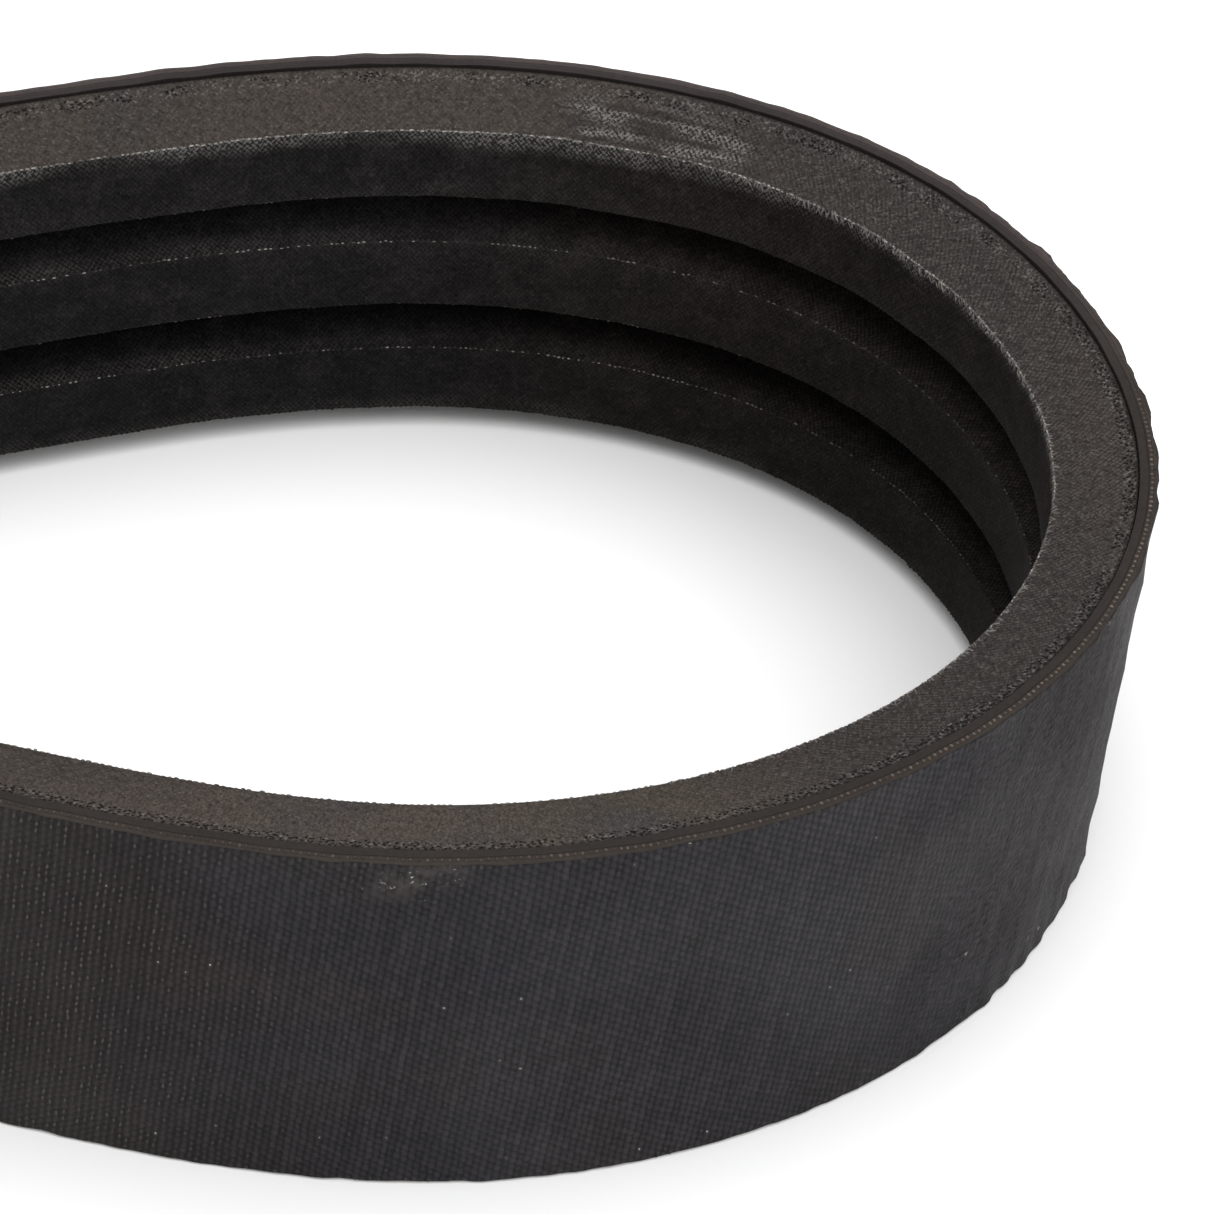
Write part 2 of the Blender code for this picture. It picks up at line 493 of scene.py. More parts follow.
def back_threads(make, at):
    """Counts of the threads passed along the belt and up it, both a little unsteady."""
    drift = make.swing(at.point, 70, 2)
    column = make.plus(make.line(at.height, BACK_LEAN, at.along), make.times(drift, 0.0006))
    jitter = make.times(make.swing(at.point, 420, 1), 0.42)
    row = make.line(drift, 1.2, make.times(at.height, 1 / BACK_ROW))
    u = make.plus(make.times(column, BACK_COLUMNS / LOOP.length), jitter)
    v = make.line(make.swing(at.point, 510, 1), 0.7, row)
    return u, v


def back_relief(make, at, u, v):
    """Height of the back cloth's weave, from 0 to 1, which wears to a fuzz round the lobe ends."""
    ridge = make.line(at.middle, 0.08, 0.55)
    skew = make.line(at.middle, -0.9, 0.6)
    ropes = make.ropes(u, v, ridge, skew, make.line(at.middle, 1.6, 1.1))
    ropes = make.line(make.swing(at.point, 1900, 2), 0.75, ropes)
    fuzz = make.line(make.grain(at.along, at.height, 1150.0, 1250.0, 3, 0.75), 5.4, -2.1)
    swap = make.times(at.lobe_end, 0.70)
    return make.plus(make.times(ropes, make.rest(swap)), make.times(fuzz, swap))


def back_colour(make, at, chance):
    """Charcoal, bluish in places, and browner along the straight middle and at the lobe ends."""
    brown = make.ramp(make.line(at.middle, 0.32, at.patchy), 0.50, 0.78)
    blue = make.ramp(make.noise(at.point, 19, 2), 0.42, 0.66)
    colour = make.mix(blue, (0.0246, 0.0228, 0.0248), (0.0236, 0.0227, 0.0276))
    colour = make.mix(brown, colour, (0.0255, 0.0218, 0.0212))
    colour = make.mix(make.times(make.ramp(at.east, 0.262, 0.288), 0.9), colour, (0.0262, 0.0222, 0.0226))
    return make.mix(make.ramp(chance, 0.0, 1.0, 0.0, 0.3), colour, (0.0285, 0.0225, 0.0250))


def back_tone(make, at, u, relief, chance):
    """How light the cloth is: dark with painted shade in the gaps, and uneven by float, thread, patch and
    stretch of belt.
    """
    thread = make.random(make.vector(make.math("FLOOR", u), 7.0))
    crumbs = make.less(make.grain(at.along, at.height, 820.0, 1500.0, 2, 0.7), 0.5)
    return make.times(
        # Painted shade: darker in the gaps between the threads.
        make.ramp(relief, 0.08, 0.92, make.line(at.middle, 0.10, 0.40), 1.05),
        make.line(chance, 0.44, 0.78),
        make.line(thread, 0.26, 0.87),
        make.line(at.patchy, 0.48, 0.70),
        make.plus(make.times(crumbs, at.lobe_end, 2.6), 1.0),
        make.times(make.ramp(at.east, 0.182, 0.216, 0.92, 1.04), make.ramp(at.east, 0.234, 0.252, 1.0, 0.92)),
    )


def back_glints(make, at, u, relief, chance, colour):
    """The colour with painted glints on the tops of the threads, in patches, and a few nearly white floats.
    """
    # Painted highlights: glints on the thread tops, in noisy patches, most along the straighter middle.
    worn = make.line(at.middle, 0.30, make.times(make.noise(at.point, 90, 3), 0.50))
    spine = make.ramp(make.absolute(make.wave(u)), 0.80, 0.97)
    glint = make.times(spine, make.ramp(relief, 0.66, 0.88), make.ramp(make.less(worn, chance), 0.0, 0.7))
    speck = make.times(make.ramp(chance, 0.9945, 0.999), make.ramp(relief, 0.93, 0.985))
    colour = make.mix(make.times(glint, 0.68), colour, (0.098, 0.090, 0.086))
    return make.mix(speck, colour, (0.30, 0.285, 0.27))


def back_scuff(make, at, colour):
    """The colour with a small slanting scuff under the upper edge, and painted highlight flecks in it."""
    off_along = make.times(make.less(at.along, SCUFF[0]), 1 / SCUFF_REACH[0])
    off_height = make.times(make.less(at.height, SCUFF[1]), 1 / SCUFF_REACH[1])
    slant = make.plus(off_along, make.times(off_height, 0.6))
    away = make.math("SQRT", make.plus(make.times(slant, slant), make.times(off_height, off_height)))
    near = make.ramp(away, 0.2, 1.6, 1.0, 0.0)
    rubbed = make.times(near, make.ramp(make.noise(at.point, 420, 3), 0.36, 0.66))
    # Painted highlights: small bright flecks scattered in the scuff.
    fleck_grain = make.ramp(make.noise(at.point, 1500, 2), 0.60, 0.70)
    scuff_highlight_flecks = make.times(near, fleck_grain, make.ramp(make.noise(at.point, 380, 1), 0.50, 0.60))
    colour = make.mix(make.times(rubbed, 0.75), colour, (0.056, 0.050, 0.046))
    return make.mix(scuff_highlight_flecks, colour, (0.40, 0.372, 0.355))


def back_cloth_finish():
    """Coarse charcoal plain weave with painted shade in its gaps: bluish on the lobes, browner and with
    painted glints along the straighter middle.
    """
    make = Finish("back_cloth", 0.66, 0.10)
    at = back_place(make)
    u, v = back_threads(make, at)
    chance = make.float_chance(u, v)
    relief = back_relief(make, at, u, v)
    colour = make.scaled(back_colour(make, at, chance), back_tone(make, at, u, relief, chance))
    colour = back_glints(make, at, u, relief, chance, colour)
    colour = back_scuff(make, at, colour)
    normal = make.bump(relief, 0.00012)
    normal = make.bump(make.noise(at.point, 1500, 2), 0.00003, normal)
    return make.out(colour, normal, make.ramp(make.noise(at.point, 40, 2), 0.3, 0.7, 0.52, 0.72))


def cut_edge_finish():
    """The band's cut edge: brown cloth at the outside, and smooth dark rubber round the cross cords. A
    painted sheen pales it along the far side, most at the outside, and a painted shadow darkens it towards
    the inside."""
    make = Finish("cut_edge", 0.55, 0.12)
    along = make.uv("threads")[0]
    depth = make.uv("place")[0]
    point = make.solid_point()
    streaks = make.grain(along, depth, 90.0, 5000.0)
    grain = make.noise(point, 1700, 3)
    patch = make.noise(point, 60, 3)
    outer = make.ramp(make.line(grain, 0.0003, depth), 0.00095, 0.00135, 1.0, 0.0)
    far = make.ramp(make.split(point)[1], 0.0, 0.04)
    colour = make.mix(outer, (0.0200, 0.0157, 0.0134), (0.0285, 0.0225, 0.0188))
    # Painted sheen: a paler colour along the far side.
    colour = make.mix(make.times(far, 0.8), colour, (0.0450, 0.0362, 0.0340))
    uneven = make.plus(make.times(streaks, 0.5), make.line(grain, 0.6, make.times(patch, 0.5)))
    rim = make.ramp(depth, 0.0, 0.00030, 0.62, 1.0)
    # Painted shade along the joint between the cord ply and the inner ply.
    seam_shade = make.hump(depth, 0.00124, 0.00001, 0.00008)
    # Painted sheen and shadow along the far side: lighter at the outside, darker towards the inside.
    far_sheen_and_shadow = make.line(far, make.ramp(depth, 0.0002, 0.0018, 0.38, -0.43), 1.0)
    tone = make.times(uneven, rim, far_sheen_and_shadow, make.less(1.25, make.times(seam_shade, 0.45)))
    normal = make.bump(make.line(streaks, 0.6, grain), 0.00004)
    return make.out(make.scaled(colour, tone), normal, make.ramp(streaks, 0.3, 0.7, 0.42, 0.6))


def jacket_place(make):
    """Where a point of a jacket lies, how much it is on an outer flank, a lobe or the near run, and the
    mottles that several marks share."""
    along, across = make.uv("threads")
    past, off_middle = make.uv("place")
    point = make.solid_point()
    x, north, up = make.split(point)
    east = make.absolute(x)
    return SimpleNamespace(
        point=point, east=east, north=north, up=up,
        along=along, across=across, past=past, off_middle=off_middle,
        flank=make.ramp(off_middle, 0.0243, 0.0249),
        lobe=make.ramp(east, LOBE_START, 0.262),
        near_run=make.ramp(north, -0.066, -0.052, 1.0, 0.0),
        cloudy=make.noise(point, 34, 4),
        fine=make.noise(point, 1300, 4, 0.75),
        fibres=make.grain(along, past, 3300.0, 900.0, 3, 0.7),
    )


def jacket_weave(make, at):
    """Height of the bias-cut weave, from 0 to 1, and one random value for each float."""
    drift = make.times(make.swing(at.point, 90, 2), 1.1)
    turns = make.line(at.along, BIAS_COUNT / LOOP.length, drift)
    lean = make.times(at.across, 1 / BIAS_PITCH)
    return make.weave(make.plus(turns, lean), make.less(turns, lean))


def flank_colour(make, at):
    """Dusty brown-grey, olive in places, and darker on the lobes up to their ends."""
    olive = make.ramp(make.noise(at.point, 21, 2), 0.50, 0.66)
    colour = make.mix(olive, (0.0408, 0.0330, 0.0284), (0.0430, 0.0350, 0.0275))
    colour = make.mix(make.ramp(at.cloudy, 0.52, 0.68), colour, (0.0305, 0.0272, 0.0262))
    colour = make.mix(make.times(at.lobe, 0.85), colour, (0.0236, 0.0206, 0.0193))
    colour = make.mix(make.ramp(at.east, 0.272, 0.287), colour, (0.0345, 0.0280, 0.0248))
    return make.scaled(colour, make.line(at.near_run, 0.25, 1.0))


def face_colour(make, at):
    """Nearly black, partly painted shade: a little lighter on the groove walls, with more painted shade low
    down and round the lobes.
    """
    walls = make.ramp(at.past, 0.0, 0.002, 1.0, 1.22)
    # Painted shade: darker low down and round the lobes.
    shaded = make.times(make.ramp(at.up, 0.014, 0.044, 0.64, 1.0), make.ramp(at.east, 0.22, 0.27, 1.0, 0.60))
    dust = make.ramp(make.noise(at.point, 210, 4, 0.7), 0.38, 0.70, 0.80, 1.45)
    black = make.mix(make.ramp(at.east, 0.19, 0.25), (0.0140, 0.0129, 0.0130), (0.0168, 0.0139, 0.0124))
    return make.scaled(make.scaled(black, make.times(walls, shaded)), dust)


def jacket_tone(make, at, relief, flat):
    """How light the cloth is, by its weave, its grain, fibres along the belt, and clouds."""
    cloth = make.less(make.ramp(relief, 0.2, 0.95, 0.62, 1.12), 0.95)
    streaked = make.line(at.near_run, 2.2, make.ramp(at.flank, 0.0, 1.0, 1.8, 0.4))
    return make.times(
        make.line(cloth, flat, 0.95),
        make.line(make.less(at.fine, 0.5), make.line(at.near_run, -1.0, 2.6), 1.0),
        make.line(make.less(at.fibres, 0.5), streaked, 1.0),
        make.line(at.cloudy, 0.5, 0.75),
    )


def jacket_grit(make, at, relief, chance, colour):
    """The colour with pale dust on the threads' tops and in specks, and dark grit between them."""
    grit = make.noise(at.point, 2500, 1)
    tops = make.times(make.ramp(relief, 0.82, 0.97), make.ramp(chance, 0.15, 0.85))
    tops = make.times(tops, make.line(at.lobe, 0.50, 0.20))
    specks = make.ramp(grit, make.line(at.lobe, -0.06, 0.60), 0.76)
    light = make.times(make.greater(specks, tops), make.ramp(at.flank, 0.0, 1.0, 0.12, 0.5))
    colour = make.mix(light, colour, (0.118, 0.108, 0.101))
    return make.scaled(colour, make.ramp(grit, 0.26, 0.40, make.line(at.near_run, 0.2, 0.50), 1.0))


def corner_wear(make, at, relief):
    """How much the cloth is rubbed pale beside the corners of the rib faces, from 0 to 1."""
    on_lobe = make.ramp(at.east, 0.23, 0.26, 0.0, 0.0014)
    narrow = make.plus(on_lobe, make.ramp(at.east, 0.19, 0.215, 0.0009, 0.0))
    ragged = make.times(make.swing(at.point, 300, 3), 0.0030)
    band = make.ramp(make.plus(make.less(at.past, narrow), ragged), -0.0040, -0.0008)
    below = make.times(band, make.ramp(at.past, 0.0001, 0.0004, 1.0, 0.0))
    patches = make.ramp(make.noise(at.point, 60, 4), 0.34, 0.58, 0.30, 1.0)
    speckle = make.ramp(make.line(make.noise(at.point, 2100, 2), 2.4, relief), 1.68, 2.32)
    outer_rib = make.ramp(at.off_middle, 0.0205, 0.0225, 0.08, 1.0)
    upper_side = make.ramp(at.up, BELT_MIDDLE, BELT_MIDDLE + 0.01, 0.15, 1.0)
    on_face = make.times(below, patches, outer_rib, make.line(speckle, 0.98, 0.07), upper_side)
    beside = make.times(make.ramp(at.past, 0.0, 0.0004), make.ramp(at.past, 0.0010, 0.0034, 1.0, 0.0))
    calm = make.times(make.rest(at.flank), make.ramp(at.east, 0.15, 0.21, 0.20, 0.03))
    return make.greater(on_face, make.times(beside, calm, patches, speckle))


def jacket_wear(make, at, relief, colour):
    """The colour with pale rubbed corners, and with the rubbed stretch of the top flank, which is dark with
    pale threads in lengthwise streaks."""
    reach = make.hump(at.along, WORN_PATCH[0], WORN_PATCH[1], WORN_PATCH[1])
    blotch = make.ramp(make.line(reach, 0.24, make.grain(at.along, at.past, 65.0, 420.0)), 0.60, 0.82)
    on_flank = make.times(make.ramp(at.past, 0.0002, 0.0008), make.ramp(at.past, 0.0055, 0.0090, 1.0, 0.0))
    patch = make.times(on_flank, at.flank, reach)
    salt = make.ramp(make.line(make.noise(at.point, 2300, 2), 3.2, relief), 2.00, 2.70)
    pepper = make.ramp(make.noise(at.point, 1900, 2), 0.36, 0.46, 1.0, 0.0)
    pale = make.greater(corner_wear(make, at, relief), make.times(blotch, patch, salt))
    colour = make.scaled(colour, make.rest(make.times(patch, 0.34)))
    colour = make.scaled(colour, make.rest(make.times(patch, pepper, make.ramp(blotch, 0.0, 1.0, 0.25, 0.7))))
    return make.mix(make.times(pale, 0.72), colour, (0.200, 0.190, 0.178))


def pinholes(make, at):
    """How much of a torn pinhole a point is, and how much of the pale crumbs between them, in a line next to
    the band."""
    centre = make.ramp(at.north, -0.02, 0.05, 0.0096, 0.0088)
    wobble = make.times(make.swing(at.point, 130, 2), 0.0008)
    zone = make.times(make.hump(make.plus(make.less(at.past, centre), wobble), 0.0, 0.0007, 0.0004), at.flank)
    torn = [make.times(make.noise(at.point, scale, 2), 0.0006) for scale in (1500, 1300)]
    spots = make.pits(make.moved(make.vector(at.along, at.past), make.vector(*torn)), 1650.0, 0.20, 0.36)
    closed = make.ramp(at.north, -0.02, 0.06, 0.0, 0.15)
    open_here = make.ramp(make.less(make.noise(at.point, 260, 2), closed), 0.30, 0.44)
    crumbs = make.times(zone, make.ramp(make.noise(at.point, 2100, 2), 0.55, 0.68), 0.6)
    return make.times(zone, spots, open_here), crumbs


def jacket_finish():
    """Bias-cut woven jackets set in rubber: dusty brown-grey on the outer flanks with open pinholes near the
    band, nearly black with painted shade on the faces and in the grooves, and rubbed pale along the corners."""
    make = Finish("jacket_cloth", 0.8, 0.10)
    at = jacket_place(make)
    relief, chance = jacket_weave(make, at)
    woven = make.ramp(make.noise(at.point, 55, 3), 0.45, 0.65)
    flat = make.rest(make.times(at.flank, make.line(woven, -0.30, 0.75)))
    colour = make.mix(at.flank, face_colour(make, at), flank_colour(make, at))
    colour = make.scaled(colour, jacket_tone(make, at, relief, flat))
    colour = jacket_grit(make, at, relief, chance, colour)
    colour = jacket_wear(make, at, relief, colour)
    hole, crumbs = pinholes(make, at)
    # Painted shade in the groove where the jacket's shoulder meets the band, deeper along the far side.
    seam_shade = make.times(make.ramp(at.past, 0.0099, 0.0104), make.ramp(at.north, -0.03, 0.06, 0.45, 0.9))
    colour = make.mix(crumbs, colour, (0.150, 0.140, 0.130))
    colour = make.mix(make.greater(make.times(hole, 0.93), seam_shade), colour, (0.003, 0.0026, 0.0023))
    normal = make.bump(make.less(make.times(relief, flat), make.times(hole, 1.5)), 0.00007)
    normal = make.bump(make.plus(at.fine, at.fibres), 0.00004, normal)
    make.put(make.ramp(at.flank, 0.0, 1.0, 0.05, 0.10), make.shader.inputs["Specular IOR Level"])
    return make.out(colour, normal, make.ramp(at.cloudy, 0.3, 0.7, 0.68, 0.84))


def rubber_finish(name, colour, roughness, grain_size):
    """Plain rubber of an inner layer, with a fine mottle."""
    make = Finish(name, roughness, 0.4)
    grain = make.noise(make.solid_point(), grain_size, 3)
    tone = make.ramp(grain, 0.3, 0.7, 0.75, 1.3)
    return make.out(make.scaled(colour, tone), make.bump(grain, 0.00004))


def cord_finish():
    """Tan dipped cord with a twist running round it."""
    make = Finish("tensile_cord", 0.65, 0.3)
    x, y, z = make.split(make.solid_point())
    twist = make.math("SINE", make.times(make.plus(make.plus(x, y), z), 4200.0))
    tone = make.ramp(twist, -1.0, 1.0, 0.65, 1.1)
    return make.out(make.scaled((0.42, 0.36, 0.27), tone), make.bump(twist, 0.00005))


def bead_finish(name, dark, light, low=0.0, straight=1.0, lobe=1.0, far=1.0):
    """Small cut or worn threads, each from the dark to the light colour as its chance goes from low to 1, and
    brightened by these shares along the straighter middle, on the lobes and along the far side."""
    make = Finish(name, 0.8, 0.15)
    chance = make.uv("bead")[0]
    point = make.solid_point()
    share = make.plus(chance, make.times(make.swing(point, 60, 3), 1.2))
    colour = make.mix(make.ramp(share, low, 1.0), dark, light)
    x, north = make.split(point)[:2]
    tone = make.times(
        make.ramp(make.noise(point, 2600, 2), 0.3, 0.7, 0.7, 1.2),
        make.ramp(make.absolute(x), 0.19, 0.275, straight, lobe),
        make.ramp(north, -0.01, 0.03, 1.0, far),
    )
    return make.out(make.scaled(colour, tone))


def thread_finishes():
    """Tan cord ends, dark rims, a pale worn outer corner of the top rib, and mostly dark other corners."""
    looks = {
        "cord_ends": ((0.056, 0.043, 0.036), (0.098, 0.077, 0.066), dict(straight=0.62, lobe=1.25, far=0.5)),
        "rim_threads": ((0.020, 0.018, 0.017), (0.040, 0.036, 0.034), dict(far=1.3)),
        "outer_knuckles": ((0.060, 0.055, 0.050), (0.30, 0.285, 0.265), dict(low=-0.2)),
        "corner_strands": ((0.042, 0.037, 0.035), (0.150, 0.139, 0.130), dict(straight=0.5, far=1.35)),
        "groove_knuckles": ((0.014, 0.013, 0.012), (0.17, 0.16, 0.15), dict(low=0.3, straight=1.7, lobe=0.5)),
    }
    return {name: bead_finish(name, dark, light, **more) for name, (dark, light, more) in looks.items()}


# ---------------- pieces


def tie_band(finishes):
    """The three plies of the tie band, meeting along its cut edges."""
    plan = (
        ("tie_band_back_cloth", "back", "tie_band_back_fabric", "back_fabric", 0.00022),
        ("tie_band_cord_layer", "cord", "tie_band_cross_cord_ply", "cross_cord_ply", 0.00003),
        ("tie_band_inner_cloth", "inner", "tie_band_inner_fabric", "inner_fabric", 0.00010),
    )
    for name, span, node, slot, radius in plan:
        outer, inner = PLIES[span]
        outer_radius, inner_radius = (radius, 0.00003) if span == "back" else (0.00003, radius)
        corners = [(outer, 0.0), (outer, BELT_WIDTH), (inner, BELT_WIDTH), (inner, 0.0)]
        radii = (outer_radius, outer_radius, inner_radius, inner_radius)
        ring = densify(rounded(corners, radii, steps=4, guard=0.00003), spacing=0.0045)
        side = np.sign(ring[:, 1] - BELT_MIDDLE)
        piece = sweep(name, ring, ring, finishes[slot], back_swell(ring), EDGE_WAVE[:, None] * side)
        if slot == "back_fabric":
            edge_faces(piece, finishes["cross_cord_ply"])
        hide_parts(node)


def back_swell(ring):
    """How far inwards the cloth's outside goes: long waves, short ones where it turns over, and puckers."""
    outside = ring[:, 0] < 0.0002
    from_edge = np.minimum(ring[:, 1], BELT_WIDTH - ring[:, 1])
    turn = outside & (from_edge < 0.0004)
    long_waves = wander(4, range(20, 90, 6), 0.00004)[:, None] * outside
    short_waves = wander(9, range(100, 420, 7), 0.00005)[:, None] * turn
    return long_waves + short_waves + puckers(ring) * outside


def puckers(ring):
    """Slanting shallow puckers of the back cloth round the lobe ends."""
    waves = wander(12, range(70, 330, 9), 0.00019)
    lobe_end = np.interp(np.abs(LOOP.points[:, 0]), (0.252, 0.280), (0.0, 1.0))
    slant = 0.9
    slide = np.round(ring[:, 1] * slant / (LOOP.length / LOOP.count)).astype(int)
    return np.stack([np.roll(waves, shift) for shift in slide], axis=1) * lobe_end[:, None]


def edge_faces(piece, finish):
    """Gives this finish to the faces that look up or down."""
    mesh = piece.data
    mesh.materials.append(finish)
    for face in mesh.polygons:
        face.material_index = int(abs(face.normal.z) > 0.75)


def jacket_ring(centre):
    """A rib jacket's section, whose two ends lap under the tie band, with each point's distance past the
    corner of its face and from the belt's middle."""
    def half(depth, inwards=0.0):
        return RIB_TOP_WIDTH / 2 - (depth - RIB_TOP) * RIB_FLANK - inwards * math.hypot(1, RIB_FLANK)

    inner_top, inner_face = RIB_TOP + JACKET, BELT_DEPTH - JACKET
    lap = JACKET_LAP / 2
    corners = [
        (RIB_TOP, lap), (RIB_TOP, half(RIB_TOP)), (BELT_DEPTH, half(BELT_DEPTH)),
        (BELT_DEPTH, -half(BELT_DEPTH)), (RIB_TOP, -half(RIB_TOP)), (RIB_TOP, -lap),
        (inner_top, -lap), (inner_top, -half(inner_top, JACKET)), (inner_face, -half(inner_face, JACKET)),
        (inner_face, half(inner_face, JACKET)), (inner_top, half(inner_top, JACKET)), (inner_top, lap),
    ]
    radii = [0, SHOULDER_RADIUS, CORNER_RADIUS, CORNER_RADIUS, SHOULDER_RADIUS, 0, 0, 0, 0, 0, 0, 0]
    ring = densify(rounded(corners, radii), spacing=0.0026)
    up_flank = (BELT_DEPTH - ring[:, 0]) * math.hypot(1, RIB_FLANK)
    on_face = np.abs(ring[:, 1]) - RIB_FACE_WIDTH / 2
    arc = (up_flank > 0) & (up_flank <= CORNER_RADIUS)
    past = np.where(up_flank > CORNER_RADIUS, up_flank, 0.0)
    past = np.where(ring[:, 0] > BELT_DEPTH - 0.00001, on_face, past)
    past[arc] = up_flank[arc] + np.minimum(on_face[arc], 0)
    ring += (0, centre)
    return ring, np.column_stack([past, np.abs(ring[:, 1] - BELT_MIDDLE)])


def rib_jackets(finishes):
    """The three ribs' fabric jackets."""
    for number in (1, 2, 3):
        node = f"rib_{number}_jacket"
        low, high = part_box(node)
        ring, place = jacket_ring((low.z + high.z) / 2)
        ripple = RIB_RIPPLES[number - 1][:, None]
        sag = np.clip((ring[:, 0] - RIB_TOP) / (BELT_DEPTH - RIB_TOP), 0, 1)
        finish = finishes["jacket_fabric"]
        piece = sweep(f"rib_{number}_jacket_cloth", ring, place, finish, ripple * sag, -ripple * sag)
        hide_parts(node)


def cross_thread_spots(rng, uneven, height):
    """Where the cross threads meet the cut edge at this height, along the belt."""
    pitch = LOOP.length / BACK_COLUMNS
    return (np.arange(BACK_COLUMNS) + 0.5 + rng.normal(0, uneven, BACK_COLUMNS)) * pitch - height * BACK_LEAN


def edge_level(along, height, way, sunk):
    """Heights of points that lie this far under the wavy surface of a cut edge."""
    return height + way * (LOOP.between(EDGE_WAVE[:, None], along)[:, 0] - sunk)


def cord_ends(finishes):
    """Cut ends of the cross cords along both edges of the band. Rubber covers them on the far side."""
    rng = np.random.default_rng(5)
    for side, height, way in EDGES:
        along = cross_thread_spots(rng, 0.06, height)
        depth = CORD_END_DEPTH + rng.normal(0, 0.00003, BACK_COLUMNS)
        covered = np.interp(LOOP.between(LOOP.points, along)[:, 1], (-0.005, 0.03), (0.0, 0.00025))
        wide = rng.uniform(0.00019, 0.00027, BACK_COLUMNS)
        sizes = np.column_stack([wide * 0.9, wide * 1.15, rng.uniform(0.00008, 0.00014, BACK_COLUMNS)])
        level = edge_level(along, height, way, covered)
        chance = rng.uniform(0, 1, BACK_COLUMNS)
        piece = beads(f"{side}_cord_ends", along, depth, level, sizes, finishes["cord_ends"], chance)


def back_rim_threads(finishes):
    """Cross threads' knuckles, where the back cloth turns over. They lie deeper where it puckers."""
    rng = np.random.default_rng(8)
    spans = ((0.00022, 0.00034), (0.00022, 0.00030), (0.00024, 0.00040))
    for side, height, way in EDGES:
        along = cross_thread_spots(rng, 0.05, height)
        east, north = LOOP.between(LOOP.points, along).T
        pressed = np.interp(np.abs(east), (0.252, 0.28), (0.0, 0.00024))
        depth = 0.00022 + rng.normal(0, 0.00003, BACK_COLUMNS) + pressed
        sunk = np.interp(np.abs(east), (0.25, 0.28), (0.00045, 0.00035))
        sunk = sunk + np.interp(north, (0.02, 0.05), (0.0, 0.00016)) - rng.normal(0, 0.00006, BACK_COLUMNS)
        level = edge_level(along, height, way, sunk)
        sizes = np.column_stack([rng.uniform(low, high, BACK_COLUMNS) for low, high in spans])
        chance = rng.uniform(0, 1, BACK_COLUMNS)
        piece = beads(f"{side}_rim_threads", along, depth, level, sizes, finishes["rim_threads"], chance)


def rib_edge_threads(finishes):
    """Worn knuckles of the jackets' threads, in a line along both corners of each rib's face."""
    rng = np.random.default_rng(6)
    pitch = LOOP.length / BIAS_COUNT
    for number in (1, 2, 3):
        centre = BELT_MIDDLE + (number - 2) * RIB_PITCH
        for side, way in (("lower", -1), ("upper", 1)):
            chance = rng.uniform(0, 1, BIAS_COUNT)
            keep = chance > 0.05
            along = (np.arange(BIAS_COUNT) + 0.5 + rng.normal(0, 0.08, BIAS_COUNT))[keep] * pitch
            count = len(along)
            outer = (number, way) == (3, 1)
            size = 0.85 if outer else 0.7
            ripple = LOOP.between(RIB_RIPPLES[number - 1][:, None], along)[:, 0]
            depth = BELT_DEPTH - KNUCKLE_INSET[0] + rng.normal(0, 0.00003, count) + ripple
            corner = centre + way * (RIB_FACE_WIDTH / 2 - KNUCKLE_INSET[1])
            height = corner + rng.normal(0, 0.00004, count) - ripple
            half = rng.uniform(0.00026, 0.00046, count) * size
            sizes = np.column_stack([half, np.full(count, 0.00016 * size), np.full(count, 0.00015 * size)])
            finish = finishes["outer_knuckles" if outer else "groove_knuckles"]
            shares = chance[keep] * (1.0 if way > 0 else 0.5)
            piece = beads(f"rib_{number}_{side}_edge_threads", along, depth, height, sizes, finish, shares)


def strand_path(past):
    """Depth and height, from the sharp corner of a rib's face, of points this far past it: down the face
    where negative, up the flank where positive, and round the arc between."""
    up, down = np.maximum(past, 0) / math.hypot(1, RIB_FLANK), np.minimum(past, 0)
    inset = CORNER_SINK * np.clip(1 - np.abs(past) / CORNER_RADIUS, 0, 1) ** 2
    return -up - inset * CORNER_WAY[0], down + up * RIB_FLANK - inset * CORNER_WAY[1]


def strand_spots(rng):
    """Where worn threads cross the corner, along the lobes, and which way each one leans."""
    number = 2 * BIAS_COUNT
    spots = (np.arange(number) + rng.normal(0.5, 0.3, number)) * LOOP.length / number
    away = np.abs(LOOP.between(LOOP.points, spots)[:, 0])
    keep = rng.uniform(0.0, 1.0, number) < (away - LOBE_START) / 0.025
    return spots[keep], (np.arange(number) % 2 * 2 - 1)[keep]


def over_corner(spots, along, past):
    """Points on the top rib this far past its outer corner, and the way out of the cloth at each one."""
    in_depth, in_height = strand_path(past)
    ripple = LOOP.between(RIB_RIPPLES[2][:, None], spots)
    points, axes = LOOP.frames(along.ravel(), (BELT_DEPTH + in_depth + ripple).ravel(), 0.0)
    points[:, 2] = (BELT_MIDDLE + RIB_PITCH + RIB_FACE_WIDTH / 2 + in_height - ripple).ravel()
    points, axes = points.reshape(*past.shape, 3), axes.reshape(*past.shape, 3, 3)
    inward, up = axes[:, :, 1], axes[:, :, 2]
    on_flank = np.clip(past / CORNER_RADIUS + 0.5, 0, 1)[..., None]
    outward = inward * (1 - on_flank) + (inward * RIB_FLANK + up) * on_flank
    return points, outward / np.linalg.norm(outward, axis=2)[..., None]


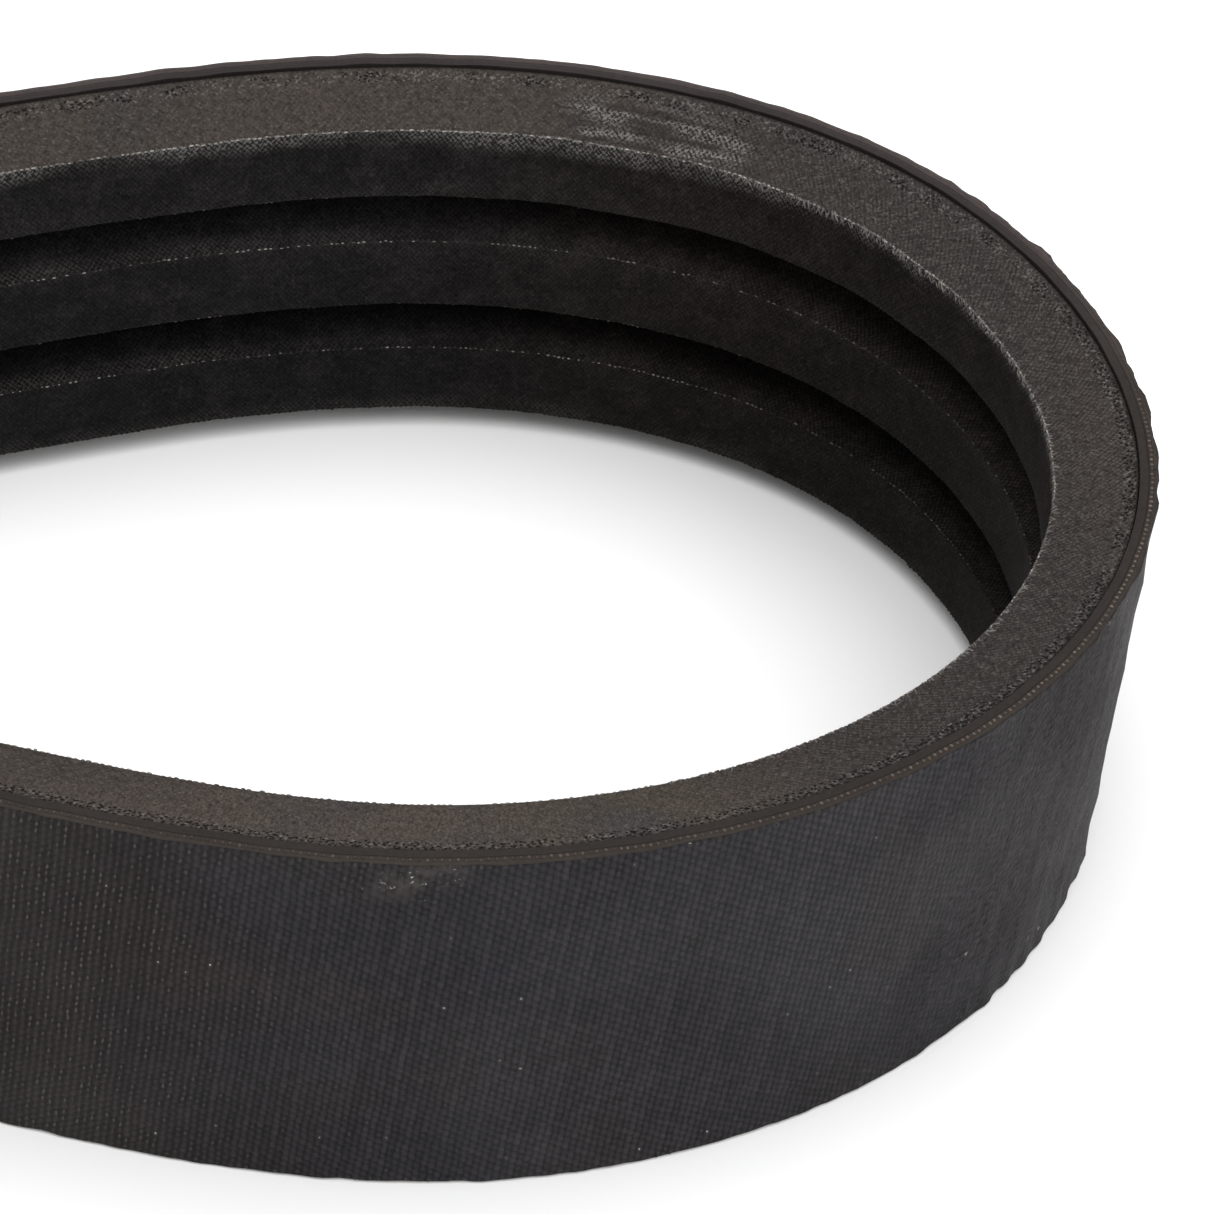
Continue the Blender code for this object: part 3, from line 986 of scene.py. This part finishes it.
def tubes(points, outward, thick, sides):
    """Thin closed tubes round rows of points, as points and faces."""
    count, rings = points.shape[:2]
    run = np.gradient(points, axis=1)
    run /= np.linalg.norm(run, axis=2)[..., None]
    beside = np.cross(run, outward)
    turn = 2 * math.pi * np.arange(sides) / sides
    ring = np.cos(turn)[:, None] * beside[:, :, None] + np.sin(turn)[:, None] * outward[:, :, None]
    skin = points[:, :, None] + ring * thick[..., None, None]
    faces = []
    for base in range(0, count * rings * sides, rings * sides):
        for a in range(rings - 1):
            for b in range(sides):
                first, second = base + a * sides + b, base + a * sides + (b + 1) % sides
                faces.append((first, second, second + sides, first + sides))
        faces.append(tuple(base + b for b in reversed(range(sides))))
        faces.append(tuple(base + (rings - 1) * sides + b for b in range(sides)))
    return skin.reshape(-1, 3), faces


def corner_strands(finishes):
    """Jacket threads worn proud on the lobes, each bent slantwise over the top rib's outer corner."""
    rng = np.random.default_rng(7)
    rings, sides = 7, 6
    share = np.linspace(0, 1, rings)
    spots, lay = strand_spots(rng)
    count = len(spots)
    north = LOOP.between(LOOP.points, spots)[:, 1]
    start = np.interp(north, (-0.05, 0.04), (-0.0003, -0.0011)) + rng.normal(0, 0.0001, count)
    past = start[:, None] + rng.uniform(0.0006, 0.0015, count)[:, None] * share
    along = spots[:, None] + past * (lay * rng.uniform(0.10, 0.85, count))[:, None]
    points, outward = over_corner(spots, along, past)
    tapered = np.sin(math.pi * np.clip(share, 0.06, 0.94)) ** 0.5
    thick = rng.uniform(0.00008, 0.00017, count)[:, None] * tapered
    skin, faces = tubes(points, outward, thick, sides)
    corners = sum(len(face) for face in faces) // count
    shares = np.repeat(np.column_stack([rng.uniform(0, 1, count), spots / LOOP.length]), corners, axis=0)
    piece = finished("rib_3_corner_strands", skin, faces, finishes["corner_strands"], {"bead": shares})


def carried_over(finishes):
    """Inner layers keep their CAD shapes and take these finishes."""
    for name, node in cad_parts.items():
        for slot in ("tension_rubber", "adhesion_gum", "tensile_cord", "compression_rubber"):
            if name.endswith(slot):
                node.data.materials.clear()
                node.data.materials.append(finishes[slot])


# ---------------- stage


def floor():
    """A wide, plain, nearly white floor."""
    corners = [(x * FLOOR_REACH, y * FLOOR_REACH, 0) for x, y in ((-1, -1), (1, -1), (1, 1), (-1, 1))]
    mesh = bpy.data.meshes.new("floor")
    mesh.from_pydata(corners, [], [(0, 1, 2, 3)])
    paint = bpy.data.materials.new("pale_floor")
    paint.use_nodes = True
    shader = paint.node_tree.nodes["Principled BSDF"]
    shader.inputs["Base Color"].default_value = (0.94, 0.94, 0.94, 1)
    shader.inputs["Roughness"].default_value = 0.9
    shader.inputs["Specular IOR Level"].default_value = 0.1
    mesh.materials.append(paint)
    plane = placed("floor", mesh)
    plane.location.z = FLOOR_LEVEL


def soft_light(name, place, size, power):
    """A round soft light at this place, turned to the middle of the floor."""
    data = bpy.data.lights.new(name, "AREA")
    data.shape = "DISK"
    data.size = size
    data.energy = power
    lamp = placed(name, data)
    lamp.location = place
    lamp.rotation_euler = (-Vector(place)).to_track_quat("-Z", "Y").to_euler()


def studio():
    """Plain soft light from all round, stronger from above and from one side."""
    world = bpy.data.worlds.new("studio")
    bpy.context.scene.world = world
    world.use_nodes = True
    background = world.node_tree.nodes["Background"]
    background.inputs["Color"].default_value = (1.0, 1.0, 1.0, 1)
    background.inputs["Strength"].default_value = 0.7
    soft_light("overhead", (0.1, -0.1, 1.9), 2.4, 36)
    soft_light("side", (1.3, -0.9, 1.0), 1.0, 6)
    bpy.context.scene.view_settings.view_transform = "Standard"


def camera():
    """The camera at its fitted place, with its roll about the way it looks."""
    data = bpy.data.cameras.new("camera")
    data.lens = CAMERA_LENS
    data.sensor_width = 36.0
    data.clip_start = 0.01
    data.clip_end = 100.0
    eye = placed("camera", data)
    eye.location = CAMERA_PLACE
    tilt = Euler((math.radians(90 - CAMERA_DOWN), 0, math.radians(-CAMERA_HEADING)), "XYZ").to_matrix()
    eye.rotation_euler = (tilt @ Matrix.Rotation(math.radians(CAMERA_ROLL), 3, "Z")).to_euler()
    bpy.context.scene.camera = eye


def main():
    finishes = {
        "back_fabric": back_cloth_finish(),
        "cross_cord_ply": cut_edge_finish(),
        "inner_fabric": cut_edge_finish(),
        "jacket_fabric": jacket_finish(),
        **thread_finishes(),
        "tension_rubber": rubber_finish("tension_rubber", (0.020, 0.019, 0.018), 0.6, 900),
        "adhesion_gum": rubber_finish("adhesion_gum", (0.030, 0.027, 0.024), 0.55, 1200),
        "compression_rubber": rubber_finish("compression_rubber", (0.014, 0.014, 0.014), 0.65, 700),
        "tensile_cord": cord_finish(),
    }
    camera()
    tie_band(finishes)
    rib_jackets(finishes)
    cord_ends(finishes)
    back_rim_threads(finishes)
    rib_edge_threads(finishes)
    corner_strands(finishes)
    carried_over(finishes)
    floor()
    studio()


main()
